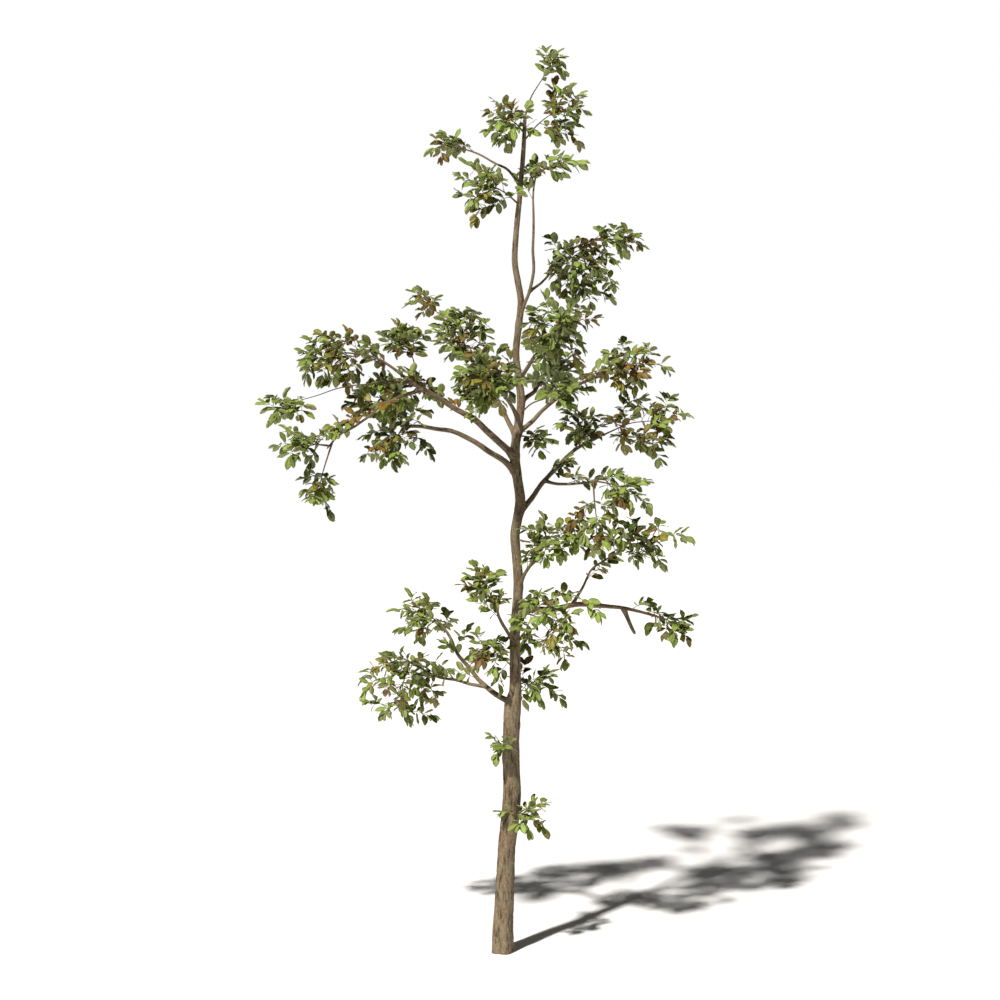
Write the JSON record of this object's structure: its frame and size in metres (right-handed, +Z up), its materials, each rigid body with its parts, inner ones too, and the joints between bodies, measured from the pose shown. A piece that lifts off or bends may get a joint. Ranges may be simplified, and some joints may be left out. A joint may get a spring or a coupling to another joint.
{
  "type": "velvet bushwillow tree",
  "caption": "Young open-grown broadleaf tree with a slender leaning trunk, spreading tiered boughs and separate light masses of foliage.",
  "frame": {"origin": "centre of the flat cut under the trunk, at ground level", "axes": "+Z up along the trunk, +X to the tree's right in the front view, +Y to its back"},
  "size_m": [3.2783, 2.564, 6.9622],
  "materials": {
    "trunk_bark": "rough fissured bark",
    "bough_bark": "bark, smoother than the trunk's",
    "leaves_fresh": "soft satin leaf, mid green",
    "leaves_dark": "soft satin leaf, dark green",
    "leaves_tinted": "soft satin leaf, olive to rust"
  },
  "bodies": {
    "root": {"back_bough": "bough_bark", "back_left_bough": "bough_bark", "back_mass": "leaves_dark", "centre_hanging": "leaves_tinted", "crown_left_high": "leaves_fresh", "crown_left_low": "leaves_tinted", "crown_left_tip": "leaves_tinted", "crown_right": "leaves_tinted", "crown_right_low": "leaves_fresh", "crown_tip": "leaves_fresh", "front_bough": "bough_bark", "front_low_right": "leaves_tinted", "left_broad": "leaves_tinted", "left_dense": "leaves_tinted", "left_falling_limb": "bough_bark", "left_far": "leaves_fresh", "left_hanging": "leaves_fresh", "left_high": "leaves_dark", "left_high_limb": "bough_bark", "left_high_tip": "leaves_fresh", "left_low_bough": "bough_bark", "left_low_hang": "leaves_dark", "left_low_tip": "leaves_fresh", "left_main_bough": "bough_bark", "left_mid_high": "leaves_fresh", "left_tip_high": "leaves_tinted", "low_front_bough": "bough_bark", "low_front_tip": "leaves_fresh", "low_left_bough": "bough_bark", "low_left_high": "leaves_fresh", "low_left_low": "leaves_tinted", "low_left_spur": "bough_bark", "low_right": "leaves_fresh", "low_side": "leaves_fresh", "lowest_sprouts": "leaves_fresh", "right_branch": "leaves_fresh", "right_branch_fall": "leaves_tinted", "right_inner": "leaves_fresh", "right_knee": "leaves_fresh", "right_knee_bough": "bough_bark", "right_low_bough": "bough_bark", "right_low_riser": "bough_bark", "right_low_tip": "leaves_fresh", "right_main": "leaves_dark", "right_main_bough": "bough_bark", "right_main_branch": "bough_bark", "right_outer": "leaves_tinted", "right_riser": "leaves_dark", "right_rising_bough": "bough_bark", "right_upper_bough": "bough_bark", "right_upper_tip": "leaves_tinted", "second_stem": "bough_bark", "second_stem_branch": "bough_bark", "top_left_bough": "bough_bark", "trunk": "trunk_bark", "trunk_sprouts": "leaves_fresh", "upper_right_arm": "leaves_tinted", "upper_right_body": "leaves_dark", "upper_right_low": "leaves_dark"}
  },
  "joints": []
}
